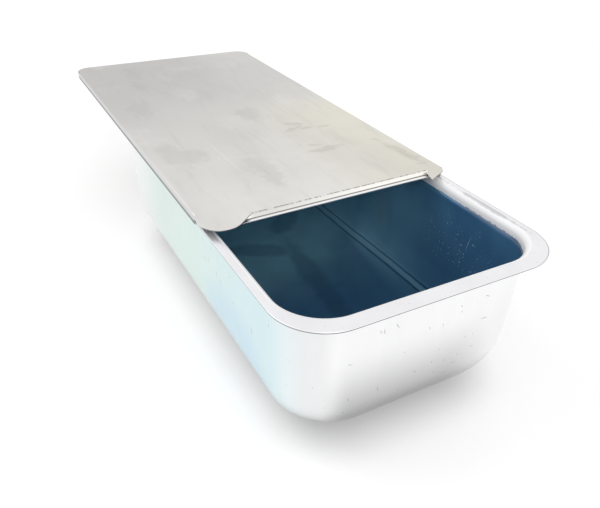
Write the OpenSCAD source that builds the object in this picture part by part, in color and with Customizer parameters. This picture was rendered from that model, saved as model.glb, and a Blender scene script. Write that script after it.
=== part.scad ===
// Loaf pan with a sliding lid: a deep-drawn sheet pan with a flat flange, a film
// lining inside it, and a folded sheet lid whose side channels run on the flange.
// Millimetres. The origin is the centre of the pan's base, on the surface it stands on.
// X is across the pan, Y is along it and Z is up. The lid slides along Y.

/* [Pan] */
// Width of the flange, over its outer edges
flange_w = 120; // [100:1:160]
// Length of the flange, over its outer edges
flange_l = 225; // [180:1:360]
// Height of the pan, from the base to the top of the flange
pan_h = 70; // [62:1:110]
// Thickness of the pan's sheet
sheet_t = 0.8; // [0.6:0.1:1.2]
// Distance from the flange's edge to the inner face of a side wall
side_rim = 5.4; // [5.2:0.1:9]
// Distance from the flange's edge to the inner face of an end wall
end_rim = 8.3; // [6:0.1:14]
// Radius of the bend between wall and flange, on its upper face
rim_r = 3.2; // [2:0.1:3.8]
// Corner radius of the flange's outer edge
flange_corner_r = 21; // [12:0.5:30]
// Corner radius of the opening, on the inner faces of the walls
opening_corner_r = 19; // [12:0.5:24]
// Corner radius of the flat of the base
base_corner_r = 23.5; // [12:0.5:24]
// Lean of the walls from the vertical, in degrees
draft = 1; // [0.5:0.1:2]
// Radius between a side wall and the base, on the inner face
side_base_r = 29; // [15:0.5:32]
// Radius between an end wall and the base, on the inner face
end_base_r = 25; // [12:0.5:28]

/* [Lining] */
// Thickness of the film that lines the pan
film_t = 0.15; // [0.1:0.05:0.4]
// Depth of the film's upper edge below the top of the flange
film_drop = 4.4; // [4.4:0.1:12]

/* [Lid] */
// Thickness of the lid's sheet
lid_t = 0.5; // [0.4:0.1:0.9]
// Length of the lid, from the front of its ears to its back edge
lid_l = 241.5; // [200:0.5:380]
// Height of the lid's underside over the flange
lid_lift = 2.3; // [2.2:0.1:4]
// Outer radius of the folds along the channels
fold_r = 1.1; // [1:0.1:1.2]
// Play between a channel's wall and the flange's edge, on each side
side_play = 0.8; // [0.75:0.05:1.2]
// Play between the flange's underside and the leaf below it
leaf_play = 0.35; // [0.25:0.05:0.8]
// Width of the leaf folded under the flange, over the channel's wall
leaf_w = 3.5; // [2.8:0.1:3.7]
// Distance from the front of the left ear to the front end of the left channel
left_front = 16.5; // [15.5:0.5:30]
// Distance of the right channel's front end behind the lip's bend line
channel_step = 0.4; // [0.3:0.1:4]
// Corner radius of the lid's back corners
back_corner_r = 9; // [4:0.5:20]

/* [Front of the lid] */
// Width of the left ear
left_ear_w = 21.6; // [19:0.1:30]
// Radius of the left ear's rounded end
left_ear_r = 9.3; // [7:0.1:10]
// Distance that the left ear stands out past the channel's wall
left_ear_out = 0.6; // [0.2:0.1:2]
// Width of the right ear
right_ear_w = 10.1; // [8:0.1:12]
// Distance from the right channel's wall to the tip of the right ear
right_tip_in = 13.3; // [11:0.1:14]
// Distance of the right ear's tip behind the front of the left ear
right_tip_back = 1.6; // [1:0.1:4]
// Radius of the right ear's outer corner
right_ear_r = 5; // [2:0.1:6]
// Distance of the lip's bend line behind the front of the left ear, at the lip's left end
lip_back = 8.1; // [7.8:0.1:10]
// Angle by which the lip's bend line runs back towards the right, in degrees
lip_skew = 1.5; // [0:0.1:2]
// Depth of the lip's ledge below the lid's top
lip_drop = 1.6; // [1.4:0.1:2]
// Width of the lip's flat ledge
lip_ledge = 1.5; // [0.8:0.1:2]
// Outer radius of the lip's upper bend
lip_r = 1.1; // [1:0.1:1.8]
// Angle of the lip's sloping part, in degrees below the horizontal
lip_angle = 60; // [58:1:75]
// Angle at which the lip's left end runs forwards under the left ear, in degrees
lip_end_turn = 50; // [20:1:55]
// Distance that each end of the lip passes under its ear
lip_under = 0.4; // [0.2:0.1:1]

/* [Pose] */
// Distance that the lid is slid back from its closed place
lid_open = 70; // [0:1:140]
// Distance that the ears stand out past the flange when the lid is closed
front_overhang = 0; // [0:0.1:6]
// Distance that the lid sits to the right of the middle, within its play
lid_side = 0.65; // [0:0.05:0.65]

/* [Hidden] */

// Steps round a corner, down a base radius, up a wall, round the rim, round a fold and
// round a corner of the lid's sheet
corner_steps = 9;
base_steps = 9;
wall_steps = 3;
rim_steps = 4;
bend_steps = 6;
sheet_corner_steps = 14;

// Straight left between the corners of a narrow level, on each side of the middle
corner_spare = 0.5;
// Overlap of a folded section with the flat sheet it continues, and of an ear's flank with
// the lip
sheet_lap = 1;
flank_lap = 0.5;

pan_color = [0.88, 0.89, 0.90];
film_color = [0.13, 0.27, 0.38];
lid_color = [0.79, 0.78, 0.75];

wall_hw = flange_w / 2 - side_rim;
wall_hl = flange_l / 2 - end_rim;
film_z = pan_h - film_drop;
rim_z = pan_h - rim_r;
rim_in = rim_r * tan(draft);

lid_hw = flange_w / 2 + side_play + lid_t;
lid_y = -flange_l / 2 - front_overhang + lid_open;
lid_z = pan_h + lid_lift;
leaf_z = pan_h - sheet_t - leaf_play - lid_t;
channel_back = lid_l - back_corner_r;
lip_inner_r = lip_r - lid_t;
fold_x = lid_hw - fold_r;
ear_x0 = -lid_hw + left_ear_w;
ear_x1 = lid_hw - right_ear_w;
right_front = bend_y(ear_x1) + channel_step;
lip_bends = lip_r + lip_inner_r;
lip_forward = lip_bends * sin(lip_angle)
    + (lip_drop - lip_bends * (1 - cos(lip_angle))) / tan(lip_angle);

// Half breadth of a drawn face at height z, for the face that lies t outside the inner
// one: a leaning wall over a rounded foot of radius foot_r + t
function face_half(z, top_half, foot_r, t) =
    let (cz = sheet_t + foot_r)
    let (cx = top_half - (pan_h - cz) * tan(draft) - foot_r / cos(draft))
    let (r = foot_r + t)
    let (tangent_z = cz - r * sin(draft))
    z >= tangent_z
        ? cx + r * cos(draft) + (z - tangent_z) * tan(draft)
        : cx + r * cos(asin(min(1, (cz - z) / r)));

// Corner radius at height z: it grows towards the base
function corner_at(z, t) =
    let (s = (pan_h - z) / pan_h)
    opening_corner_r + (base_corner_r - opening_corner_r) * s * s + t;

// One level of a drawn face, as [half width, half length, corner radius, height]
function level(z, t) =
    let (hw = face_half(z, wall_hw, side_base_r, t))
    let (hl = face_half(z, wall_hl, end_base_r, t))
    [hw, hl, min(corner_at(z, t), hw - corner_spare), z];

// The levels of a drawn face from the base to the film's edge
function wall_levels(t) =
    let (cz = sheet_t + side_base_r)
    let (r = side_base_r + t)
    let (tangent_z = cz - r * sin(draft))
    concat(
        [for (k = [0:base_steps]) level(cz - r * cos((90 - draft) * k / base_steps), t)],
        [for (k = [1:wall_steps]) level(tangent_z + (film_z - tangent_z) * k / wall_steps, t)]);

// The levels of the bend into the flange, for the face that lies t outside the upper one
function rim_levels(t) =
    [for (k = [0:rim_steps])
        let (a = 90 * k / rim_steps)
        let (out = rim_r - (rim_r - t) * cos(a) - rim_in)
        [wall_hw + out, wall_hl + out, opening_corner_r + out, rim_z + (rim_r - t) * sin(a)]];

function corner_arc(cx, cy, r, start) =
    [for (k = [0:corner_steps])
        let (a = start + 90 * k / corner_steps)
        [cx + r * cos(a), cy + r * sin(a)]];

// The closed outline of one level, anticlockwise from above
function outline(l) =
    let (x = l[0] - l[2])
    let (y = l[1] - l[2])
    [for (p = concat(corner_arc(x, y, l[2], 0), corner_arc(-x, y, l[2], 90),
                     corner_arc(-x, -y, l[2], 180), corner_arc(x, -y, l[2], 270)))
        [p[0], p[1], l[3]]];

// Distance of the lip's bend line behind the front of the left ear, at the place x
function bend_y(x) = lip_back + (x - ear_x0) * tan(lip_skew);

// Points along a bend or a corner of the lid's sheet, from angle a0 to a1
function arc(centre, r, a0, a1, steps = bend_steps) =
    [for (k = [0:steps])
        let (a = a0 + (a1 - a0) * k / steps)
        centre + r * [cos(a), sin(a)]];

// Direction of the line that meets a round end of radius r tangentially, seen over the reach
function slant_of(reach, r, side) = atan2(reach[1], reach[0]) + side * asin(r / norm(reach));

// A closed skin through a list of levels, with a flat cap on the first and on the last
module skin(levels) {
    n = 4 * (corner_steps + 1);
    last = len(levels) - 1;
    points = [for (l = levels) each outline(l)];
    sides = [for (i = [0:last - 1]) for (j = [0:n - 1])
        let (a = i * n + j)
        let (b = i * n + (j + 1) % n)
        each [[a, b, b + n], [a, b + n, a + n]]];
    first_cap = [for (j = [0:n - 1]) n - 1 - j];
    last_cap = [for (j = [0:n - 1]) last * n + j];
    polyhedron(points = points, faces = concat([first_cap], sides, [last_cap]));
}

// The drawn pan: up the inner face, over the rim, round the flange and down the outer face
module pan_body() {
    inner = concat(wall_levels(0), rim_levels(0));
    outer = concat(wall_levels(sheet_t), rim_levels(sheet_t));
    edge_top = [flange_w / 2, flange_l / 2, flange_corner_r, pan_h];
    edge_low = [flange_w / 2, flange_l / 2, flange_corner_r, pan_h - sheet_t];
    last = len(outer) - 1;
    color(pan_color)
        skin(concat(inner, [edge_top, edge_low], [for (k = [0:last]) outer[last - k]]));
}

// The film that lies on the inner face, from the base to just under the rim
module inner_film() {
    near = wall_levels(-film_t);
    far = wall_levels(0);
    last = len(far) - 1;
    color(film_color)
        skin(concat(near, [for (k = [0:last]) far[last - k]]));
}

// The channel's section on the right side, in X and Z: outer faces first, then inner ones
module channel_section() {
    top = [fold_x, lid_z + lid_t - fold_r];
    low = [fold_x, leaf_z + fold_r];
    inner_r = fold_r - lid_t;
    polygon(concat([[fold_x - sheet_lap, lid_z + lid_t]],
                   arc(top, fold_r, 90, 0), arc(low, fold_r, 0, -90),
                   [[lid_hw - leaf_w, leaf_z], [lid_hw - leaf_w, leaf_z + lid_t]],
                   arc(low, inner_r, -90, 0), arc(top, inner_r, 0, 90),
                   [[fold_x - sheet_lap, lid_z]]));
}

module channel(front) {
    translate([0, channel_back, 0])
        rotate([90, 0, 0])
            linear_extrude(channel_back - front)
                channel_section();
}

// The lip's section in Y and Z, from the flat sheet at Y = 0 forwards to the ledge's edge:
// the upper face first, then the lower one
module lip_section() {
    crest = [0, -lip_r];
    foot = [-lip_forward, lip_inner_r - lip_drop];
    ledge_y = -lip_forward - lip_ledge;
    polygon(concat([[sheet_lap, 0]], arc(crest, lip_r, 90, 90 + lip_angle),
                   arc(foot, lip_inner_r, 270 + lip_angle, 270),
                   [[ledge_y, -lip_drop], [ledge_y, -lip_drop - lid_t]],
                   arc(foot, lip_inner_r + lid_t, 270, 270 + lip_angle),
                   arc(crest, lip_r - lid_t, 90 + lip_angle, 90), [[sheet_lap, -lid_t]]));
}

// The pressed lip between the ears: its left end is cut on a slant, and both ends pass
// under the ears
module lip() {
    x0 = -lip_under;
    x1 = (ear_x1 - ear_x0) / cos(lip_skew) + lip_under;
    reach = lip_forward + lip_ledge + sheet_lap;
    run = reach * tan(lip_end_turn);
    depth = lip_drop + lid_t + sheet_lap;
    translate([ear_x0, lip_back, lid_z + lid_t])
        rotate([0, 0, lip_skew])
            intersection() {
                translate([x0 - run, 0, 0])
                    rotate([90, 0, 90])
                        linear_extrude(run + x1 - x0)
                            lip_section();
                translate([0, 0, -depth])
                    linear_extrude(depth + sheet_lap)
                        polygon([[x0, 2 * sheet_lap], [x0, 0], [x0 - run, -reach],
                                 [x1, -reach], [x1, 2 * sheet_lap]]);
            }
}

// The lid's flat sheet as one closed line, anticlockwise from the lip's right end. Each
// ear's straight flank runs tangentially into its rounded end and, at the other end, on into
// the lip. The right ear's side lies on the fold line.
module lid_outline() {
    edge = -lid_hw - left_ear_out;
    left = [edge + left_ear_r, left_ear_r];
    right = [fold_x - right_ear_r, bend_y(ear_x1)];
    left_root = [ear_x0, bend_y(ear_x0)];
    right_root = [ear_x1, bend_y(ear_x1)];
    tip = [lid_hw - right_tip_in, right_tip_back];
    back_x = lid_hw - back_corner_r;
    right_start = slant_of(right - tip, right_ear_r, -1) - 90;
    left_slant = slant_of(left_root - left, left_ear_r, 1);
    left_way = [cos(left_slant), sin(left_slant)];
    right_way = (right_root - tip) / norm(right_root - tip);
    polygon(concat(
        [right_root + flank_lap * right_way, tip],
        arc(right, right_ear_r, right_start, 0, sheet_corner_steps),
        [[fold_x, channel_back]],
        arc([back_x, channel_back], back_corner_r, 0, 90, sheet_corner_steps),
        arc([-back_x, channel_back], back_corner_r, 90, 180, sheet_corner_steps),
        [[-fold_x, channel_back], [-fold_x, left_front], [edge, left_front]],
        arc(left, left_ear_r, 180, left_slant + 270, sheet_corner_steps),
        [left_root + flank_lap * left_way]));
}

// The folded lid, with its front at Y = 0 before it is put in its place
module lid() {
    color(lid_color)
        translate([lid_side, lid_y, 0])
            union() {
                translate([0, 0, lid_z])
                    linear_extrude(lid_t)
                        lid_outline();
                channel(right_front);
                mirror([1, 0, 0])
                    channel(left_front);
                lip();
            }
}

pan_body();
inner_film();
lid();
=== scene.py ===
import math
import random

import bpy
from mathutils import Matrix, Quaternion, Vector, noise
from mathutils.geometry import delaunay_2d_cdt


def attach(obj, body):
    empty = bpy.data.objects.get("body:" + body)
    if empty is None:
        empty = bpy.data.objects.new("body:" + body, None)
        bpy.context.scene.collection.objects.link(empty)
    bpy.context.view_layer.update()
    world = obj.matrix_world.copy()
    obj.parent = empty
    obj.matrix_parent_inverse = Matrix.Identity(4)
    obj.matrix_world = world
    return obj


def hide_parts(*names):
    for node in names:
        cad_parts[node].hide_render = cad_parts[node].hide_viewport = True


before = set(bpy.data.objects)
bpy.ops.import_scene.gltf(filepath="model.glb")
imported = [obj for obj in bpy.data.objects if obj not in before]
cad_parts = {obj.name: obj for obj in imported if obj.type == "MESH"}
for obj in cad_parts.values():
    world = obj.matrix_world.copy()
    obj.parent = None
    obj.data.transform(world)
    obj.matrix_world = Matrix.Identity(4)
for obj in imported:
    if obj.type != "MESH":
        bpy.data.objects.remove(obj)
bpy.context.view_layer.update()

MM = 0.001

# The pan
FLANGE_W = 120.0
FLANGE_L = 225.0
PAN_H = 70.0
SHEET_T = 0.8
SIDE_RIM = 5.4
END_RIM = 8.3
RIM_R = 3.2
FLANGE_CORNER_R = 21.0
OPENING_CORNER_R = 19.0
BASE_CORNER_R = 23.5
DRAFT = math.radians(1.0)
SIDE_BASE_R = 29.0
END_BASE_R = 25.0

# The film; its back stays FILM_BACK off the pan's sheet
FILM_T = 0.15
FILM_BACK = 0.01
FILM_DROP = 4.4

# The lid
LID_T = 0.5
LID_L = 241.5
LID_LIFT = 2.3
FOLD_R = 1.1
SIDE_PLAY = 0.8
LEAF_PLAY = 0.35
LEAF_W = 3.5
LEFT_FRONT = 16.5
CHANNEL_STEP = 0.4
BACK_CORNER_R = 9.0
LEFT_EAR_W = 21.6
LEFT_EAR_R = 9.3
LEFT_EAR_OUT = 0.6
RIGHT_EAR_W = 10.1
RIGHT_TIP_IN = 13.3
RIGHT_TIP_BACK = 1.6
RIGHT_EAR_R = 5.0
LIP_BACK = 8.1
LIP_SKEW = math.radians(1.5)
LIP_DROP = 1.6
LIP_LEDGE = 1.5
LIP_R = 1.1
LIP_ANGLE = 60.0
LIP_END_TURN = math.radians(64)
LIP_END_W = 10.0
LIP_UNDER = 0.4
LIP_UNDER_W = 4.0
LIP_SLIT = 0.1
LID_OPEN = 70.0
LID_SIDE = 0.65

# Places worked out from them; HW is half a width and HL half a length
WALL_HW = FLANGE_W / 2 - SIDE_RIM
WALL_HL = FLANGE_L / 2 - END_RIM
FILM_Z = PAN_H - FILM_DROP
RIM_Z = PAN_H - RIM_R
RIM_IN = RIM_R * math.tan(DRAFT)
FOOT_Z = SHEET_T + SIDE_BASE_R
LID_HW = FLANGE_W / 2 + SIDE_PLAY + LID_T
LID_Y = -FLANGE_L / 2 + LID_OPEN
LID_TOP = PAN_H + LID_LIFT + LID_T
LEAF_Z = PAN_H - SHEET_T - LEAF_PLAY - LID_T
FOLD_X = LID_HW - FOLD_R
CHANNEL_BACK = LID_L - BACK_CORNER_R
EAR_X0 = LEFT_EAR_W - LID_HW
EAR_X1 = LID_HW - RIGHT_EAR_W
LIP_X0 = EAR_X0 + LIP_SLIT
LIP_X1 = EAR_X1 - LIP_SLIT
RIGHT_FRONT = LIP_BACK + (EAR_X1 - EAR_X0) * math.tan(LIP_SKEW) + CHANNEL_STEP

# The camera, as the photograph was taken; lens and sensor in millimetres, clip in metres
CAMERA_PLACE = Vector((-129.79, -236.51, 193.96)) * MM
CAMERA_AIM = Vector((-10.6, -25.31, 40.0)) * MM
CAMERA_ROLL = math.radians(1.72)
CAMERA_LENS = 37.15
CAMERA_SENSOR = 36
CAMERA_CLIP = (0.01, 50)


def make_camera():
    data = bpy.data.cameras.new("camera")
    data.lens = CAMERA_LENS
    data.sensor_width = CAMERA_SENSOR
    data.clip_start, data.clip_end = CAMERA_CLIP
    camera = bpy.data.objects.new("camera", data)
    bpy.context.scene.collection.objects.link(camera)
    camera.location = CAMERA_PLACE
    camera.rotation_mode = "QUATERNION"
    aim = (CAMERA_AIM - CAMERA_PLACE).to_track_quat("-Z", "Y")
    camera.rotation_quaternion = aim @ Quaternion((0, 0, 1), CAMERA_ROLL)
    bpy.context.scene.camera = camera


# Outlines and drawn faces; steps are the stretches that a line is divided into
CORNER_STEPS = 22
LONG_STEPS = 44
SHORT_STEPS = 22
BASE_INSETS = (22.5, 19, 15, 11, 7.5, 4.5, 2)
LEAST_STRAIGHT = 0.5
LEAST_CORNER_R = 1


def ring(half_w, half_l, r, z):
    """One level of a drawn face: four corner arcs joined by divided straights."""
    x, y = half_w - r, half_l - r
    centres = [(x, y), (-x, y), (-x, -y), (x, -y)]
    points = []
    for i, (cx, cy) in enumerate(centres):
        for k in range(CORNER_STEPS + 1):
            a = math.radians(90 * (i + k / CORNER_STEPS))
            points.append(Vector((cx + r * math.cos(a), cy + r * math.sin(a), z)))
        nx, ny = centres[(i + 1) % 4]
        a = math.radians(90 * (i + 1))
        end = Vector((nx + r * math.cos(a), ny + r * math.sin(a), z))
        steps = LONG_STEPS if i % 2 else SHORT_STEPS
        start = points[-1]
        points += [start.lerp(end, k / steps) for k in range(1, steps)]
    return points


def face_half(z, top_half, foot_r, t):
    """Half breadth at height z of the drawn face that lies t outside the inner one."""
    cz = SHEET_T + foot_r
    cx = top_half - (PAN_H - cz) * math.tan(DRAFT) - foot_r / math.cos(DRAFT)
    r = foot_r + t
    tangent_z = cz - r * math.sin(DRAFT)
    if z >= tangent_z:
        return cx + r * math.cos(DRAFT) + (z - tangent_z) * math.tan(DRAFT)
    return cx + r * math.cos(math.asin(min(1, (cz - z) / r)))


def level(z, t):
    """Half width, half length, corner radius and height of a drawn face at height z."""
    half_w = face_half(z, WALL_HW, SIDE_BASE_R, t)
    half_l = face_half(z, WALL_HL, END_BASE_R, t)
    s = (PAN_H - z) / PAN_H
    r = OPENING_CORNER_R + (BASE_CORNER_R - OPENING_CORNER_R) * s * s + t
    return [half_w, half_l, min(r, half_w - LEAST_STRAIGHT), z]


def floor_levels(t):
    """From the middle of the base out to the foot of the walls."""
    half_w, half_l, r, z = level(SHEET_T - t, t)
    return [[half_w - d, half_l - d, max(r - d, LEAST_CORNER_R), z] for d in BASE_INSETS]


def wall_levels(t, foot_angles, wall_steps):
    """From the foot of the walls to the film's edge; foot_angles are from straight down."""
    r = SIDE_BASE_R + t
    tangent_z = FOOT_Z - r * math.sin(DRAFT)
    full = 90 - math.degrees(DRAFT)
    levels = [level(FOOT_Z - r * math.cos(math.radians(a * full / 90)), t) for a in foot_angles]
    rise = (FILM_Z - tangent_z) / wall_steps
    return levels + [level(tangent_z + rise * k, t) for k in range(1, wall_steps + 1)]


def rim_levels(t, steps):
    """The bend into the flange, for the face that lies t outside the upper one."""
    levels = []
    for k in range(steps + 1):
        a = math.radians(90 * k / steps)
        out = RIM_R - (RIM_R - t) * math.cos(a) - RIM_IN
        z = RIM_Z + (RIM_R - t) * math.sin(a)
        levels.append([WALL_HW + out, WALL_HL + out, OPENING_CORNER_R + out, z])
    return levels


def even(first, last, steps):
    """Evenly spaced numbers from first to last, both included."""
    return [first + (last - first) * k / steps for k in range(steps + 1)]


def arc(cx, cy, r, first, last, steps):
    """Points of an arc, from the first angle in degrees to the last."""
    return [(cx + r * math.cos(math.radians(a)), cy + r * math.sin(math.radians(a)))
            for a in even(first, last, steps)]


# Meshes
def make_piece(name, points, faces, material, nodes):
    """A smooth mesh from millimetre points, that takes the place of its CAD nodes."""
    mesh = bpy.data.meshes.new(name)
    mesh.from_pydata([Vector(p) * MM for p in points], [], faces)
    mesh.validate()
    mesh.update()
    piece = bpy.data.objects.new(name, mesh)
    bpy.context.scene.collection.objects.link(piece)
    mesh.materials.append(material)
    for polygon in mesh.polygons:
        polygon.use_smooth = True
    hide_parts(*nodes)
    return piece


def skin(levels):
    """Points and faces of a closed skin over the levels, capped at the first and the last."""
    rings = [ring(*one) for one in levels]
    n = len(rings[0])
    points = [p for one in rings for p in one]
    faces = [list(range(n))]
    for i in range(len(rings) - 1):
        for j in range(n):
            a, b = i * n + j, i * n + (j + 1) % n
            faces.append([b, a, a + n, b + n])
    faces.append([len(points) - 1 - j for j in range(n)])
    return points, faces


def strip_faces(base, rows, n):
    """Quads between rows of n points each, the first of which is point number base."""
    return [[a, a + 1, a + n + 1, a + n]
            for i in range(rows - 1) for a in range(base + i * n, base + (i + 1) * n - 1)]


def ripple(p, seed, size):
    """Smooth noise from -1 to 1 at a point in millimetres."""
    return noise.noise(Vector((p[0] / size, p[1] / size, p[2] / size + seed)))


# The pan's sheet
EDGE_R = 0.25
EDGE_STEPS = 4
PAN_FOOT_STEPS = 26
PAN_WALL_STEPS = 12
PAN_RIM_STEPS = 10
FLANGE_SHARES = (0.3, 0.6, 0.85)


def pan_face(t):
    """From the middle of the base to the flange, for the face that lies t outside."""
    levels = floor_levels(t) + wall_levels(t, even(0, 90, PAN_FOOT_STEPS), PAN_WALL_STEPS)
    return levels + rim_levels(t, PAN_RIM_STEPS)[1:]


def pan_levels():
    """Up the inner face, over the flange and its cut edge, and down the outer face."""
    outline = [FLANGE_W / 2, FLANGE_L / 2, FLANGE_CORNER_R]
    rim = rim_levels(0, 1)[1]
    flange = []
    for share in FLANGE_SHARES:
        flange.append([a + (b - a) * share for a, b in zip(rim, outline + [PAN_H])])
    section = arc(-EDGE_R, PAN_H - EDGE_R, EDGE_R, 90, 0, EDGE_STEPS)
    section += arc(-EDGE_R, PAN_H - SHEET_T + EDGE_R, EDGE_R, 0, -90, EDGE_STEPS)
    edge = [[a + out for a in outline] + [z] for out, z in section]
    return pan_face(0) + flange + edge + pan_face(SHEET_T)[::-1]


def make_pan(material):
    points, faces = skin(pan_levels())
    pan = make_piece("pan", points, faces, material, ["pan_body"])
    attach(pan, "pan")


# The film, wrinkled along the right foot. CREASE_ANGLE is where the wrinkle's lower line
# lies, in degrees from the top of the foot's radius, and CREASE_SECTION is its section: places
# up the wall from that line, and heights there
FILM_FOOT = even(0, 42, 14) + even(43, 68, 42) + even(70, 90, 8)
FILM_WALL_STEPS = 14
FILM_RIPPLE = 0.05
FILM_RIPPLE_SEED = 3.0
FILM_RIPPLE_SIZE = 24
CREASE_ANGLE = 38.0
CREASE_DRIFT = 0.03
CREASE_X = WALL_HW - (PAN_H - FOOT_Z) * math.tan(DRAFT) - SIDE_BASE_R / math.cos(DRAFT)
CREASE_HL = 82
CREASE_FADE = 14
CREASE_WANDER = 0.5
CREASE_WANDER_SEED = 4.0
CREASE_WANDER_SIZE = 26
CREASE_SECTION = [(-0.7, 0.0), (0.0, 0.7), (3.4, 0.2), (3.9, 0.55), (5.0, 0.0)]

# The wrinkle's painted highlight and painted shade lines: from, to and softness in degrees, counted
# down from its lower line
CREASE_HIGHLIGHT = (-4.6, -1.6, 1.2)
CREASE_LOW_SHADE = (0.0, 0.5, 0.9)
CREASE_HIGH_SHADE = (-6.8, -6.4, 0.9)
CREASE_SWAY = 1.5


def crease_height(p):
    """How far the wrinkle along the right foot stands off the wall."""
    if p[0] < CREASE_X or p[2] > FOOT_Z or abs(p[1]) > CREASE_HL:
        return 0.0
    below = math.degrees(math.atan2(FOOT_Z - p[2], p[0] - CREASE_X))
    sway = noise.noise(Vector((p[1] / CREASE_WANDER_SIZE, 0.0, CREASE_WANDER_SEED)))
    line = CREASE_ANGLE + CREASE_DRIFT * p[1] + CREASE_WANDER * sway
    s = math.radians(line - below) * SIDE_BASE_R
    fade = min(1.0, (CREASE_HL - abs(p[1])) / CREASE_FADE)
    for (s0, h0), (s1, h1) in zip(CREASE_SECTION, CREASE_SECTION[1:]):
        if s0 <= s <= s1:
            return fade * (h0 + (h1 - h0) * (s - s0) / (s1 - s0))
    return 0.0


def film_face(t):
    """From the middle of the base to the film's edge, for the face that lies t inside."""
    return floor_levels(-t) + wall_levels(-t, FILM_FOOT, FILM_WALL_STEPS)


def make_film(material):
    points, faces = skin(film_face(FILM_T) + film_face(FILM_BACK)[::-1])
    film = make_piece("film", points, faces, material, ["inner_film"])
    mesh = film.data
    # Only the face that shows is moved, which is the first half of the points
    moves = []
    for v in mesh.vertices[:len(points) // 2]:
        p = v.co / MM
        h = crease_height(p) + FILM_RIPPLE * (ripple(p, FILM_RIPPLE_SEED, FILM_RIPPLE_SIZE) + 1)
        moves.append(v.normal * h * MM)
    for v, move in zip(mesh.vertices, moves):
        v.co += move
    mesh.update()
    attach(film, "pan")


# The lid
BEND_STEPS = 8
FLAT_STEPS = 3
RIGHT_EAR_STEPS = 12
BACK_CORNER_STEPS = 14
LEFT_EAR_STEPS = 26
LID_PITCH = 3.0
GRID_SHIFT = 0.25
GRID_CLEAR = 0.45
INSIDE_ONLY = 1
SAME_POINT = 1e-4
ON_LINE = 1e-3
ON_LINE_DIGITS = 4
LIP_REACH = 0.01
LID_WAVE = 0.035
LID_WAVE_SEED = 9.0
LID_WAVE_SIZE = 46
WELD_REACH = 0.02
CUT_R = 0.12
CUT_STEPS = 2
CUT_ANGLE = math.radians(60)
SHARP_ANGLE = math.radians(50)


def channel_profile():
    """Outer face of the right channel in X and Z, from the flat sheet to the leaf's edge."""
    top = LID_TOP - FOLD_R
    low = LEAF_Z + FOLD_R
    line = arc(FOLD_X, top, FOLD_R, 90, 0, BEND_STEPS)
    line += [(LID_HW, z) for z in even(top, low, FLAT_STEPS)[1:-1]]
    line += arc(FOLD_X, low, FOLD_R, 0, -90, BEND_STEPS)
    return line + [(x, LEAF_Z) for x in even(FOLD_X, LID_HW - LEAF_W, FLAT_STEPS)[1:]]


def lip_profile():
    """Upper face of the lip in Y and Z, from its bend line to the ledge's edge."""
    inner_r = LIP_R - LID_T
    turn = math.radians(LIP_ANGLE)
    slope_drop = LIP_DROP - (LIP_R + inner_r) * (1 - math.cos(turn))
    forward = (LIP_R + inner_r) * math.sin(turn) + slope_drop / math.tan(turn)
    line = arc(0, -LIP_R, LIP_R, 90, 90 + LIP_ANGLE, BEND_STEPS)
    line += arc(-forward, inner_r - LIP_DROP, inner_r, 270 + LIP_ANGLE, 270, BEND_STEPS)
    return line + [(y, -LIP_DROP) for y in even(-forward, -forward - LIP_LEDGE, FLAT_STEPS)[1:]]


def bend_y(x):
    """Distance of the lip's bend line behind the front of the left ear."""
    return LIP_BACK + (x - EAR_X0) * math.tan(LIP_SKEW)


def slant_of(reach, r, side):
    """Direction in degrees of the tangent between a point and a circle of radius r.

    The reach joins the point and the circle's centre, and side says which tangent it is.
    """
    return math.degrees(math.atan2(reach.y, reach.x) + side * math.asin(r / reach.length))


def lid_outline():
    """The flat sheet's edge, anticlockwise from the lip's right end, front at Y = 0."""
    back = CHANNEL_BACK
    right = Vector((FOLD_X - RIGHT_EAR_R, bend_y(EAR_X1)))
    tip = Vector((LID_HW - RIGHT_TIP_IN, RIGHT_TIP_BACK))
    edge = -LID_HW - LEFT_EAR_OUT
    left = Vector((edge + LEFT_EAR_R, LEFT_EAR_R))
    root = Vector((EAR_X0, bend_y(EAR_X0)))
    right_start = slant_of(right - tip, RIGHT_EAR_R, -1) - 90
    left_end = slant_of(root - left, LEFT_EAR_R, 1) + 270
    points = [(LIP_X1, bend_y(LIP_X1)), (EAR_X1, bend_y(EAR_X1)), tip[:]]
    points += arc(*right, RIGHT_EAR_R, right_start, 0, RIGHT_EAR_STEPS)
    points += [(FOLD_X, RIGHT_FRONT), (FOLD_X, back), (LID_HW, back)]
    points += arc(LID_HW - BACK_CORNER_R, back, BACK_CORNER_R, 0, 90, BACK_CORNER_STEPS)[1:]
    points += arc(BACK_CORNER_R - LID_HW, back, BACK_CORNER_R, 90, 180, BACK_CORNER_STEPS)
    points += [(-FOLD_X, back), (-FOLD_X, LEFT_FRONT), (edge, LEFT_FRONT)]
    points += arc(*left, LEFT_EAR_R, 180, left_end, LEFT_EAR_STEPS)
    return points + [root[:], (LIP_X0, bend_y(LIP_X0))]


def divide(points, pitch):
    """The same closed line with every stretch divided to the pitch."""
    out = []
    for start, end in zip(points, points[1:] + points[:1]):
        a, b = Vector(start), Vector(end)
        steps = max(1, round((b - a).length / pitch))
        out += [a.lerp(b, k / steps) for k in range(steps)]
    return out


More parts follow.
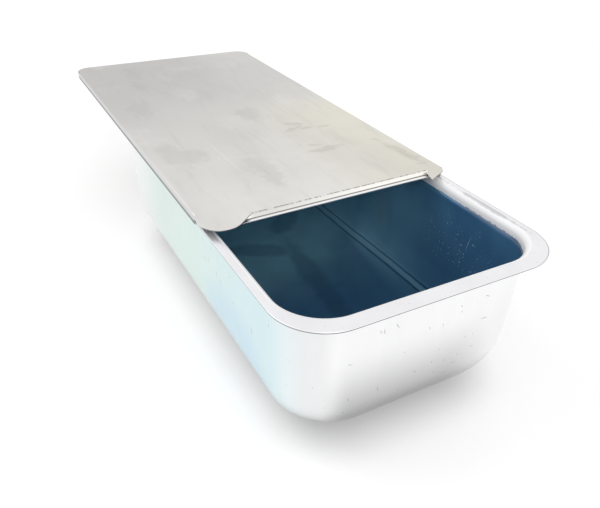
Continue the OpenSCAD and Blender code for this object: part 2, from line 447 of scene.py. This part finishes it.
def lid_flat():
    """Points and faces of the flat sheet, with an even grid inside its outline."""
    outline = divide(lid_outline(), LID_PITCH)
    count = len(outline)
    edges = [(i, (i + 1) % count) for i in range(count)]
    rows = int(LID_L / LID_PITCH)
    columns = int(2 * LID_HW / LID_PITCH)
    inner = []
    for row in range(1, rows):
        for column in range(1, columns):
            shift = GRID_SHIFT if row % 2 else -GRID_SHIFT
            x = -LID_HW + (column + shift) * 2 * LID_HW / columns
            inner.append(Vector((x, row * LID_L / rows)))
    clear = LID_PITCH * GRID_CLEAR
    inner = [p for p in inner if min((p - q).length for q in outline) > clear]
    points, _, faces, *_ = delaunay_2d_cdt(
        outline + inner, edges, [list(range(count))], INSIDE_ONLY, SAME_POINT)
    return points, [list(f) for f in faces]


def add_channels(points, faces, flat):
    """Both side channels, from the flat sheet's points on the two folds."""
    profile = channel_profile()
    for side in (1, -1):
        rows = sorted({round(p[1], ON_LINE_DIGITS) for p in flat
                       if abs(side * p[0] - FOLD_X) < ON_LINE})
        quads = strip_faces(len(points), len(rows), len(profile))
        faces += quads if side > 0 else [quad[::-1] for quad in quads]
        for y in rows:
            points += [Vector((side * x, y, z)) for x, z in profile]


def add_lip(points, faces, flat):
    """The pressed lip, from the flat sheet's points on its bend line."""
    first, last = LIP_X0 - LIP_REACH, LIP_X1 + LIP_REACH
    columns = sorted({round(p[0], ON_LINE_DIGITS) for p in flat
                      if abs(p[1] - bend_y(p[0])) < ON_LINE and first < p[0] < last})
    profile = lip_profile()
    faces += strip_faces(len(points), len(columns), len(profile))
    for x in columns:
        left = max(0.0, 1 - (x - LIP_X0) / LIP_END_W) * math.tan(LIP_END_TURN)
        right = max(0.0, 1 - (LIP_X1 - x) / LIP_UNDER_W) * (LIP_UNDER + LIP_SLIT)
        for y, z in profile:
            along = left * y + right * min(1.0, -y)
            points.append(Vector((
                x + along * math.cos(LIP_SKEW) - y * math.sin(LIP_SKEW),
                bend_y(x) + along * math.sin(LIP_SKEW) + y * math.cos(LIP_SKEW),
                LID_TOP + z)))


def thicken(piece):
    """Gives the drawn outer face the sheet's thickness on its inside, with eased cut edges."""
    weld = piece.modifiers.new("weld", "WELD")
    weld.merge_threshold = WELD_REACH * MM
    solid = piece.modifiers.new("sheet", "SOLIDIFY")
    solid.thickness = LID_T * MM
    solid.offset = -1
    solid.use_even_offset = True
    bevel = piece.modifiers.new("cut edges", "BEVEL")
    bevel.width = CUT_R * MM
    bevel.segments = CUT_STEPS
    bevel.limit_method = "ANGLE"
    bevel.angle_limit = CUT_ANGLE
    bevel.use_clamp_overlap = True
    graph = bpy.context.evaluated_depsgraph_get()
    mesh = bpy.data.meshes.new_from_object(piece.evaluated_get(graph))
    piece.modifiers.clear()
    old = piece.data
    piece.data = mesh
    bpy.data.meshes.remove(old)
    mesh.set_sharp_from_angle(angle=SHARP_ANGLE)


def make_lid(material):
    flat, faces = lid_flat()
    points = [Vector((p[0], p[1], LID_TOP)) for p in flat]
    add_channels(points, faces, flat)
    add_lip(points, faces, flat)
    for p in points:
        p.z -= LID_WAVE * (1 + ripple(p, LID_WAVE_SEED, LID_WAVE_SIZE))
        p.x += LID_SIDE
        p.y += LID_Y
    lid = make_piece("lid_sheet", points, faces, material, ["lid"])
    thicken(lid)
    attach(lid, "lid")


# Materials
RAGGED_SCALE = (150, 150, 150)
RAGGED_ROUGHNESS = 0.65
NOISE_ROUGHNESS = 0.55
SPOT_CORE = 0.45
BUMP_DEPTH = 0.0002


class Nodes:
    """Short calls for building one material's nodes."""

    def __init__(self, name):
        self.material = bpy.data.materials.new(name)
        self.material.use_nodes = True
        self.tree = self.material.node_tree
        self.tree.nodes.clear()
        self.output = self.tree.nodes.new("ShaderNodeOutputMaterial")
        self.place = self.add("ShaderNodeTexCoord").outputs["Object"]
        self.ragged = None

    def add(self, kind, inputs=None, **settings):
        """A new node; each of its inputs is given a value or another node's output."""
        node = self.tree.nodes.new(kind)
        for key, value in settings.items():
            setattr(node, key, value)
        for key, value in (inputs or {}).items():
            if isinstance(value, bpy.types.NodeSocket):
                self.tree.links.new(value, node.inputs[key])
            else:
                node.inputs[key].default_value = value
        return node

    def math(self, operation, a, b=0.0, c=0.0):
        node = self.add("ShaderNodeMath", {0: a, 1: b, 2: c}, operation=operation)
        return node.outputs[0]

    def times(self, first, *others):
        """The product of two or more masks or shares."""
        total = first
        for other in others:
            total = self.math("MULTIPLY", total, other)
        return total

    def most(self, masks):
        """The strongest of several masks."""
        total = masks[0]
        for mask in masks[1:]:
            total = self.math("MAXIMUM", total, mask)
        return total

    def between(self, mask, at_none, at_full):
        """A number that goes straight from at_none to at_full as the mask goes from 0 to 1."""
        return self.math("MULTIPLY_ADD", mask, at_full - at_none, at_none)

    def ramp(self, value, low, high, to_low=0.0, to_high=1.0):
        """A smooth step, from to_low at low to to_high at high."""
        node = self.add("ShaderNodeMapRange", {0: value, 1: low, 2: high, 3: to_low, 4: to_high},
                        interpolation_type="SMOOTHSTEP")
        return node.outputs[0]

    def fall(self, value, low, high):
        """1 up to low, and 0 from high on."""
        return self.ramp(value, low, high, 1.0, 0.0)

    def band(self, value, low, high, soft):
        """1 between low and high, fading over soft on both sides."""
        rise = self.ramp(value, low - soft, low)
        return self.times(rise, self.fall(value, high, high + soft))

    def mix(self, share, a, b):
        node = self.add("ShaderNodeMix", {0: share, 6: a, 7: b}, data_type="RGBA")
        return node.outputs[2]

    def lay(self, colour, over, mask, share):
        """The colour with another one laid over it, as far as mask and share let it."""
        return self.mix(self.times(mask, share), colour, over)

    def noise(self, scale, detail, roughness=NOISE_ROUGHNESS):
        """Noise from 0 to 1, with its waves per metre along x, y and z."""
        node = self.add("ShaderNodeMapping", {"Vector": self.place, "Scale": scale})
        inputs = {"Vector": node.outputs[0], "Scale": 1.0, "Detail": detail, "Roughness": roughness}
        return self.add("ShaderNodeTexNoise", inputs).outputs["Fac"]

    def split(self):
        """The place's x, y and z in millimetres."""
        node = self.add("ShaderNodeVectorMath", {0: self.place, "Scale": 1 / MM}, operation="SCALE")
        return self.add("ShaderNodeSeparateXYZ", {0: node.outputs[0]}).outputs

    def spot(self, place, size, turn=(0, 0, 0), wander=0.0):
        """A soft-edged ellipsoid: place and half axes in millimetres, turn in degrees."""
        turn = [math.radians(a) for a in turn]
        local = self.add("ShaderNodeMapping", {
            "Vector": self.place, "Location": Vector(place) * MM, "Rotation": turn,
            "Scale": Vector(size) * MM}, vector_type="TEXTURE").outputs[0]
        reach = self.add("ShaderNodeVectorMath", {0: local}, operation="LENGTH").outputs["Value"]
        if wander:
            if self.ragged is None:
                self.ragged = self.noise(RAGGED_SCALE, 4, RAGGED_ROUGHNESS)
            reach = self.math("ADD", reach, self.between(self.ragged, -wander, wander))
        return self.fall(reach, SPOT_CORE, 1.0)

    def outside(self, x, y, half_w, half_l, r):
        """Millimetres outside a round-cornered outline of corner radius r, less than 0 inside."""
        outs = []
        for value, half in ((x, half_w), (y, half_l)):
            beyond = self.math("SUBTRACT", self.math("ABSOLUTE", value), half - r)
            outs.append(self.math("MAXIMUM", beyond, 0.0))
        squares = [self.times(out, out) for out in outs]
        return self.math("SUBTRACT", self.math("SQRT", self.math("ADD", *squares)), r)

    def bump(self, height, strength):
        inputs = {"Height": height, "Strength": strength, "Distance": BUMP_DEPTH}
        return self.add("ShaderNodeBump", inputs).outputs[0]

    def principled(self, inputs):
        shader = self.add("ShaderNodeBsdfPrincipled", inputs)
        self.tree.links.new(shader.outputs[0], self.output.inputs["Surface"])


def tone(r, g, b):
    """A colour given on the 0 to 255 scale of a screen, as linear light."""
    return (*(((c / 255 + 0.055) / 1.055) ** 2.4 for c in (r, g, b)), 1.0)


def scatter(seed, count, low, high):
    """Rows of numbers drawn at random between low and high, the same in every run."""
    draw = random.Random(seed)
    return [[draw.uniform(a, b) for a, b in zip(low, high)] for _ in range(count)]


# The bare pieces' looks; a pair is mixed by a noise, and the lid's painted shade and light by the
# place
PAN_COLOURS = (tone(246, 246, 247), tone(254, 254, 254))
PAN_METALLIC = 0.7
PAN_ROUGHNESS = (0.24, 0.36)
PAN_BUMP = 0.12
FILM_COLOURS = (tone(60, 108, 150), tone(84, 134, 172))
FILM_METALLIC = 0.3
FILM_ROUGHNESS = (0.16, 0.3)
FILM_COAT = 0.25
FILM_COAT_ROUGHNESS = 0.12
FILM_BUMP = 0.03
LID_SHADE_AND_LIGHT = (tone(194, 192, 190), tone(227, 225, 221))
LID_METALLIC = 1.0
LID_ROUGHNESS = (0.38, 0.48)
LID_BUMP = 0.05
SCUFF = tone(140, 140, 146)

# Nicks in the front wall (place across, place up, half length, turn) and in the left wall
# (place back, place up, half height), each number drawn between its FROM and its TO
NICK_SEED = 5
NICK_HALF_W = 0.22
FRONT_NICKS = 20
FRONT_NICK_FROM = (-34, 20, 1, 0)
FRONT_NICK_TO = (32, 58, 2.6, 85)
FRONT_NICK_Y = -105
FRONT_NICK_DEPTH = 2
LEFT_NICKS = 12
LEFT_NICK_FROM = (-92, 42, 1.2)
LEFT_NICK_TO = (0, 60, 3)
LEFT_NICK_X = -54.5
LEFT_NICK_DEPTH = 3


def pan_nicks(n):
    nicks = [n.spot((side, FRONT_NICK_Y, up), (half, FRONT_NICK_DEPTH, NICK_HALF_W), (0, turn, 0))
             for side, up, half, turn in scatter(
                 NICK_SEED, FRONT_NICKS, FRONT_NICK_FROM, FRONT_NICK_TO)]
    nicks += [n.spot((LEFT_NICK_X, back, up), (LEFT_NICK_DEPTH, NICK_HALF_W, half))
              for back, up, half in scatter(
                  NICK_SEED + 1, LEFT_NICKS, LEFT_NICK_FROM, LEFT_NICK_TO)]
    return n.most(nicks)


def pan_material():
    n = Nodes("drawn_aluminium")
    x, y, z = n.split()
    fine = n.noise((900, 900, 120), 4)
    broad = n.noise((22, 22, 30), 3)
    draw = n.noise((160, 160, 14), 3)
    colour = n.mix(broad, *PAN_COLOURS)
    # Painted shade: the front wall darkens towards its foot, most on the left of its middle. The
    # base is painted darker at the front too, and the front left corner a little
    front = n.fall(y, -103, -98)
    across = n.times(n.ramp(x, -47, -32), n.fall(x, 10, 42))
    # foot: painted shade at the front wall's foot
    foot = n.times(n.fall(z, 12, 52), front, across)
    colour = n.lay(colour, tone(172, 172, 173), foot, 0.95)
    base = n.times(n.fall(z, 4, 26), n.fall(y, -92, -70))
    colour = n.lay(colour, tone(140, 140, 140), base, 0.75)
    painted_corner_shade = n.times(n.fall(y, -100, -90), n.fall(x, -46, -38))
    colour = n.lay(colour, tone(214, 214, 215), painted_corner_shade, 0.35)
    # The left wall takes a painted pale green-blue reflection, bluer behind the corner
    left = n.times(n.fall(x, -54.5, -42), n.fall(z, PAN_H - 1.5, PAN_H - 0.9))
    left = n.times(left, n.ramp(y, -106, -78), n.fall(y, 30, 100))
    painted_reflection_tint = n.mix(n.ramp(y, -70, 10), tone(210, 236, 240), tone(216, 236, 228))
    colour = n.lay(colour, painted_reflection_tint, left, 0.85)
    # blue: a painted blue reflection on the left wall
    blue = n.spot((-54, -46, 24), (10, 40, 26), wander=0.15)
    colour = n.lay(colour, tone(190, 220, 242), blue, 0.45)
    colour = n.lay(colour, tone(190, 192, 198), draw, 0.12)
    # The flange: a duller band on top, a dark painted shadow line along the lower half of its cut
    # edge, and a grey one round the top of that edge on the right
    top = n.ramp(z, PAN_H - 0.4, PAN_H - 0.05)
    dull = n.mix(n.noise((90, 60, 60), 4), tone(222, 221, 227), tone(246, 246, 247))
    colour = n.lay(colour, dull, top, 0.8)
    rim = n.outside(x, y, FLANGE_W / 2, FLANGE_L / 2, FLANGE_CORNER_R)
    lower_half = n.band(z, PAN_H - SHEET_T, PAN_H - SHEET_T / 2, 0.08)
    # edge: the painted shadow line under the flange's cut edge
    edge = n.times(lower_half, n.ramp(rim, -0.4, -0.15))
    colour = n.lay(colour, tone(82, 82, 88), edge, 0.95)
    burr = n.times(n.ramp(z, PAN_H - 0.5, PAN_H - 0.3), n.ramp(rim, -0.5, -0.3), n.ramp(x, 40, 58))
    colour = n.lay(colour, tone(110, 110, 114), burr, 0.8)
    # Nicks, each worn away in places
    marks = n.times(pan_nicks(n), n.ramp(n.noise((700, 700, 700), 2), 0.36, 0.5))
    colour = n.lay(colour, SCUFF, marks, 0.75)
    # The bend above the film is painted white and made matt as a painted highlight, with a ragged
    # purple-grey fringe below and a dull streak on the right; inner is the inside of the pan
    bend = n.outside(x, y, WALL_HW, WALL_HL, OPENING_CORNER_R)
    lower_bend = n.ramp(z, PAN_H - 3.5, PAN_H - 0.5, 0.0, 1.6)
    upper_bend = n.ramp(z, PAN_H - 0.8, PAN_H - 0.4, 0.0, 1.2)
    inner = n.fall(n.math("SUBTRACT", bend, n.math("ADD", lower_bend, upper_bend)), 0.2, 0.4)
    painted_bend_highlight = n.times(n.band(z, FILM_Z - 1.1, PAN_H - 0.2, 0.2), inner)
    colour = n.lay(colour, tone(254, 254, 254), painted_bend_highlight, 0.9)
    streak = n.spot((57, -68, PAN_H), (1.1, 30, 3), wander=0.9)
    colour = n.lay(colour, SCUFF, streak, 0.45)
    ragged = n.ramp(n.noise((420, 420, 420), 3), 0.45, 0.6)
    fringe = n.times(n.band(z, FILM_Z - 0.3, FILM_Z + 0.3, 0.3), ragged, n.fall(y, -60, -30), inner)
    colour = n.lay(colour, tone(120, 104, 138), fringe, 0.6)
    height = n.math("SUBTRACT", n.times(fine, 0.3), marks)
    n.principled({"Base Color": colour, "Metallic": n.between(painted_bend_highlight, PAN_METALLIC, 0.0),
                  "Roughness": n.between(fine, *PAN_ROUGHNESS),
                  "Normal": n.bump(height, PAN_BUMP)})
    return n.material


def film_material():
    n = Nodes("blue_film")
    x, y, z = n.split()
    broad = n.noise((18, 18, 18), 3)
    colour = n.mix(n.ramp(broad, 0.35, 0.65), *FILM_COLOURS)
    # Painted reflection in teal at the back left, painted light towards the back and on the right
    # wall, painted shade deeper at the front left, with one pale streak there
    painted_teal_reflection = n.times(n.fall(x, 15, 54), n.ramp(y, -20, 45))
    colour = n.lay(colour, tone(134, 190, 204), painted_teal_reflection, 0.8)
    painted_wall_light = n.times(n.ramp(y, -60, 15), n.ramp(x, 40, 50))
    painted_light = n.most([n.ramp(y, -28, 55), painted_wall_light])
    painted_light = n.times(painted_light, n.ramp(broad, 0.3, 0.6, 0.7, 1.0))
    colour = n.lay(colour, tone(150, 210, 232), painted_light, 0.75)
    # front: painted shade at the front left
    front = n.times(n.fall(y, -40, 10), n.fall(x, 25, 45))
    colour = n.lay(colour, tone(44, 80, 114), front, 0.12)
    streak = n.spot((-54, -52, 40), (20, 12, 34), wander=0.3)
    colour = n.lay(colour, tone(150, 206, 206), streak, 0.35)
    # The wrinkle: a painted highlight strip between two painted shade lines along the right foot
    below = n.math("ARCTAN2", n.math("SUBTRACT", FOOT_Z, z), n.math("SUBTRACT", x, CREASE_X))
    line = n.math("MULTIPLY_ADD", y, CREASE_DRIFT, CREASE_ANGLE)
    off = n.math("SUBTRACT", n.math("DEGREES", below), line)
    off = n.math("ADD", off, n.between(n.noise((30, 45, 30), 2), -CREASE_SWAY, CREASE_SWAY))
    along = n.times(n.band(y, -62, 70, CREASE_FADE), n.ramp(x, CREASE_X, CREASE_X + 2))
    painted_crease_highlight = n.times(n.band(off, *CREASE_HIGHLIGHT), along)
    colour = n.lay(colour, tone(150, 200, 222), painted_crease_highlight, 0.5)
    # lines: the wrinkle's two painted shade lines
    lines = n.most([n.band(off, *CREASE_LOW_SHADE), n.band(off, *CREASE_HIGH_SHADE)])
    colour = n.lay(colour, tone(30, 60, 92), n.times(lines, along), 0.6)
    # Painted reflections: soft darker bands on the base and in the right foot, and pale patches on
    # the right wall; and a dark edge below the rim at the front
    painted_dark_reflections = n.most([n.spot((15, 0, 1), (9, 62, 14), (0, 0, -5), wander=0.35),
                    n.spot((28, 66, 4), (10, 22, 18), (0, 0, -45), wander=0.35),
                    n.spot((0, 42, 1), (30, 9, 14), (0, 0, -26), wander=0.35)])
    colour = n.lay(colour, tone(48, 84, 112), painted_dark_reflections, 0.34)
    painted_pale_light = n.most([n.spot((54, 2, 36), (4, 10, 16), wander=0.3),
                   n.spot((51.5, -6, 18), (3, 18, 2), wander=0.2)])
    colour = n.lay(colour, tone(148, 190, 204), painted_pale_light, 0.4)
    edge = n.times(n.ramp(z, FILM_Z - 2.2, FILM_Z - 0.4), n.fall(y, -70, -40))
    colour = n.lay(colour, tone(40, 46, 76), edge, 0.7)
    # Fine light specks and one scratch on the right wall, near the front
    worn = n.times(n.spot((54, -58, 44), (6, 34, 18), wander=0.6), n.ramp(x, 48, 50))
    dots = n.ramp(n.noise((950, 950, 950), 1), 0.68, 0.73)
    scratch = n.spot((54.3, -65, 50), (2, 0.22, 6), (12, 0, 0))
    specks = n.most([n.times(dots, worn), n.times(scratch, 0.6)])
    colour = n.lay(colour, tone(214, 236, 252), specks, 0.7)
    fine = n.noise((500, 500, 500), 3)
    n.principled({"Base Color": colour, "Metallic": n.between(painted_light, FILM_METALLIC, 0.0),
                  "Roughness": n.between(broad, *FILM_ROUGHNESS),
                  "Coat Weight": FILM_COAT, "Coat Roughness": FILM_COAT_ROUGHNESS,
                  "Normal": n.bump(fine, FILM_BUMP)})
    return n.material


# Marks on the lid: smudges (place across, place back, half width, half length), stains at
# the front right and short scratches (place across, place back, half length, turn), each
# number drawn between its FROM and its TO; one smear and one long scratch are placed one by one
MARK_DEPTH = 3
MARK_WANDER = 1.1
SMUDGE_SEED = 8
SMUDGES = 7
SMUDGE_FROM = (-50, -20, 6, 8)
SMUDGE_TO = (40, 180, 12, 22)
STAIN_SEED = 14
STAINS = 7
STAIN_FROM = (15, -5, 4, -30)
STAIN_TO = (55, 60, 10, 20)
STAIN_BREADTH = 0.3
SCRATCH_SEED = 3
SHORT_SCRATCHES = 5
SCRATCH_FROM = (-55, -35, 2.5, 20)
SCRATCH_TO = (50, 70, 4.5, 110)
SCRATCH_HALF_W = 0.3
LONG_SCRATCH_HALF_W = 0.35


def lid_smudges(n):
    return n.most([n.spot((side, back, LID_TOP), (wide, long, MARK_DEPTH), wander=MARK_WANDER)
                   for side, back, wide, long in scatter(
                       SMUDGE_SEED, SMUDGES, SMUDGE_FROM, SMUDGE_TO)])


def lid_stains(n):
    smear = n.spot((55, -8, LID_TOP), (4, 20, MARK_DEPTH), (0, 0, 5), MARK_WANDER)
    return n.most([smear] + [
        n.spot((side, back, LID_TOP), (half, STAIN_BREADTH * half, MARK_DEPTH), (0, 0, turn),
               MARK_WANDER)
        for side, back, half, turn in scatter(STAIN_SEED, STAINS, STAIN_FROM, STAIN_TO)])


def lid_scratches(n):
    long = n.spot((-27, 25, LID_TOP), (LONG_SCRATCH_HALF_W, 32, MARK_DEPTH), (0, 0, 2))
    return n.most([long] + [
        n.spot((side, back, LID_TOP), (half, SCRATCH_HALF_W, MARK_DEPTH), (0, 0, turn))
        for side, back, half, turn in scatter(
            SCRATCH_SEED, SHORT_SCRATCHES, SCRATCH_FROM, SCRATCH_TO)])


def lid_material():
    n = Nodes("rolled_aluminium")
    x, y, z = n.split()
    broad = n.noise((14, 10, 14), 4)
    cloud = n.noise((38, 26, 38), 4)
    # Painted shade, greyer at the back and left, and painted light, paler towards the front and at
    # the back right; warm at the front right
    along = n.math("MULTIPLY_ADD", x, 0.5, n.times(y, -1))
    colour = n.mix(n.ramp(along, -190, 50), *LID_SHADE_AND_LIGHT)
    # right: painted light, paler at the back right
    right = n.times(n.ramp(x, 0, 50), n.ramp(y, 40, 150))
    colour = n.lay(colour, tone(219, 218, 215), right, 0.6)
    warm = n.times(n.ramp(x, -5, 45), n.band(y, -30, 60, 35))
    colour = n.lay(colour, tone(224, 220, 206), warm, 0.7)
    colour = n.lay(colour, tone(188, 186, 183), n.ramp(broad, 0.4, 0.65), 0.3)
    colour = n.lay(colour, tone(236, 236, 235), n.ramp(cloud, 0.56, 0.75), 0.22)
    # Smudges, stains, the grain of the rolling and scratches
    colour = n.lay(colour, tone(168, 167, 166), lid_smudges(n), 0.2)
    colour = n.lay(colour, tone(160, 154, 138), lid_stains(n), 0.22)
    grain = n.ramp(n.noise((260, 40, 60), 3), 0.5, 0.72)
    colour = n.lay(colour, tone(170, 168, 166), grain, 0.12)
    lines = lid_scratches(n)
    colour = n.lay(colour, tone(238, 238, 238), lines, 0.4)
    # The lip: tool marks on its bend line, a painted highlight on the slope, painted shade in the
    # concave bend and a painted highlight on the ledge; straight_y is y with the lip's skew taken
    # out
    straight_y = n.math("MULTIPLY_ADD", x, -math.tan(LIP_SKEW), y)
    bend = LID_Y + LIP_BACK - (EAR_X0 + LID_SIDE) * math.tan(LIP_SKEW)
    on_lip = n.band(x, EAR_X0 + LID_SIDE, EAR_X1 + LID_SIDE, 1.0)
    tool = n.times(n.band(straight_y, bend - 0.2, bend + 0.3, 0.3), on_lip)
    dashes = n.ramp(n.noise((620, 60, 60), 3), 0.42, 0.54)
    colour = n.lay(colour, tone(132, 128, 122), n.times(tool, dashes), 0.75)
    painted_slope_highlight = n.times(n.band(straight_y, bend - 1.3, bend - 0.4, 0.2), on_lip)
    # The colour of the slope's painted highlight
    painted_pale_light = n.mix(n.ramp(x, -40, 30), tone(214, 213, 209), tone(252, 251, 246))
    colour = n.lay(colour, painted_pale_light, painted_slope_highlight, 0.9)
    below = n.fall(z, LID_TOP - 0.5, LID_TOP - 0.2)
    below = n.times(below, n.band(x, EAR_X0 - 6, EAR_X1 + 1, 1.0))
    painted_hollow_shade = n.times(n.band(straight_y, bend - 1.7, bend - 1.5, 0.15), below)
    colour = n.lay(colour, tone(92, 92, 94), painted_hollow_shade, 0.9)
    painted_ledge_highlight = n.times(n.band(straight_y, bend - 3.3, bend - 2.0, 0.12), below)
    colour = n.lay(colour, tone(252, 252, 254), painted_ledge_highlight, 0.9)
    # The sheet's cut edges round the ears and the back, painted dark as shade
    off_middle = n.math("ABSOLUTE", n.math("SUBTRACT", x, LID_SIDE))
    inside = n.fall(off_middle, FOLD_X - 0.4, FOLD_X)
    front = n.fall(y, LID_Y + RIGHT_FRONT, LID_Y + LEFT_FRONT)
    behind = n.ramp(y, LID_Y + CHANNEL_BACK - 1, LID_Y + CHANNEL_BACK)
    bare = n.math("SUBTRACT", n.most([front, behind, inside]), on_lip)
    painted_cut_edge_shade = n.times(n.band(z, LID_TOP - 0.44, LID_TOP - 0.16, 0.05), bare)
    colour = n.lay(colour, tone(96, 96, 96), painted_cut_edge_shade, 0.7)
    # The channels' walls: a painted highlight along the fold, painted shade towards the leaf
    wall = n.ramp(off_middle, LID_HW - 0.5, LID_HW - 0.1)
    shade = n.mix(n.ramp(z, LID_TOP - 3.2, LID_TOP - 1.4), tone(104, 104, 108), tone(214, 214, 216))
    colour = n.lay(colour, shade, wall, 0.85)
    fine = n.noise((60, 1400, 60), 3)
    height = n.math("SUBTRACT", n.times(fine, 0.5), n.times(lines, 0.4))
    n.principled({"Base Color": colour, "Metallic": LID_METALLIC,
                  "Roughness": n.between(fine, *LID_ROUGHNESS),
                  "Normal": n.bump(height, LID_BUMP)})
    return n.material


# The floor: a wide sheet just below the pan, with a painted shadow under and round the pan's
# foot. The gap and the foot's sizes are millimetres, the half width and the reach of the glow are
# metres
FLOOR_HALF = 3.0
FLOOR_GAP = 0.1
FLOOR_SHARE = 0.8
FOOT_SHADOW_SHARE = 0.3
FOOT_HALF_W = 34.0
FOOT_HALF_L = 87.0
FOOT_CORNER_R = 14.0
FOOT_SHADOW_SOFT = (-5.0, 30.0)
FLOOR_GLOW = 0.28
FAR_GLOW = 0.4
GLOW_FROM = 0.35
GLOW_TO = 1.2

# Light: a white world, a lamp behind on the left and one in front; places and sizes in metres
WORLD_LEVEL = 0.78
KEY_PLACE = Vector((-0.55, 0.45, 0.95))
KEY_SIZE = 0.7
KEY_WATTS = 1.9
FRONT_PLACE = Vector((-0.25, -1.05, 0.75))
FRONT_SIZE = 0.8
FRONT_WATTS = 3.6


def seen_ray(nodes, links):
    """1 for a ray that shows the background itself: camera, glossy or transmission."""
    path = nodes.new("ShaderNodeLightPath")
    total = path.outputs["Is Camera Ray"]
    for name in ("Is Glossy Ray", "Is Transmission Ray"):
        add = nodes.new("ShaderNodeMath")
        add.operation = "MAXIMUM"
        links.new(total, add.inputs[0])
        links.new(path.outputs[name], add.inputs[1])
        total = add.outputs[0]
    return total


def make_floor():
    h, z = FLOOR_HALF, -FLOOR_GAP * MM
    mesh = bpy.data.meshes.new("floor")
    mesh.from_pydata([(-h, -h, z), (h, -h, z), (h, h, z), (-h, h, z)], [], [(0, 1, 2, 3)])
    floor = bpy.data.objects.new("floor", mesh)
    bpy.context.scene.collection.objects.link(floor)
    n = Nodes("floor")
    reach = n.add("ShaderNodeVectorMath", {0: n.place}, operation="LENGTH").outputs["Value"]
    glow = n.ramp(reach, GLOW_FROM, GLOW_TO, FLOOR_GLOW, FAR_GLOW)
    glow = n.times(glow, seen_ray(n.tree.nodes, n.tree.links))
    x, y, _ = n.split()
    # A painted shadow: the floor's colour darkens towards the pan's foot
    foot = n.outside(x, y, FOOT_HALF_W, FOOT_HALF_L, FOOT_CORNER_R)
    share = n.ramp(foot, *FOOT_SHADOW_SOFT, FOOT_SHADOW_SHARE, FLOOR_SHARE)
    diffuse = n.add("ShaderNodeBsdfDiffuse", {"Color": share})
    emission = n.add("ShaderNodeEmission", {"Strength": glow})
    total = n.add("ShaderNodeAddShader", {0: diffuse.outputs[0], 1: emission.outputs[0]})
    n.tree.links.new(total.outputs[0], n.output.inputs["Surface"])
    mesh.materials.append(n.material)


def make_world():
    """White at full strength where it is seen, and WORLD_LEVEL as light."""
    world = bpy.data.worlds.new("studio")
    bpy.context.scene.world = world
    world.use_nodes = True
    nodes, links = world.node_tree.nodes, world.node_tree.links
    background = nodes["Background"]
    background.inputs["Color"].default_value = tone(255, 255, 255)
    scale = nodes.new("ShaderNodeMath")
    scale.operation = "MULTIPLY_ADD"
    links.new(seen_ray(nodes, links), scale.inputs[0])
    scale.inputs[1].default_value = 1 - WORLD_LEVEL
    scale.inputs[2].default_value = WORLD_LEVEL
    links.new(scale.outputs[0], background.inputs["Strength"])


def make_lamp(name, place, size, watts):
    """A round lamp that points at the origin."""
    data = bpy.data.lights.new(name, "AREA")
    data.shape = "DISK"
    data.size = size
    data.energy = watts
    lamp = bpy.data.objects.new(name, data)
    lamp.location = place
    lamp.rotation_mode = "QUATERNION"
    lamp.rotation_quaternion = (-place).to_track_quat("-Z", "Y")
    bpy.context.scene.collection.objects.link(lamp)


make_camera()
make_pan(pan_material())
make_film(film_material())
make_lid(lid_material())
make_floor()
make_world()
make_lamp("key", KEY_PLACE, KEY_SIZE, KEY_WATTS)
make_lamp("front", FRONT_PLACE, FRONT_SIZE, FRONT_WATTS)
bpy.context.scene.view_settings.view_transform = "Standard"
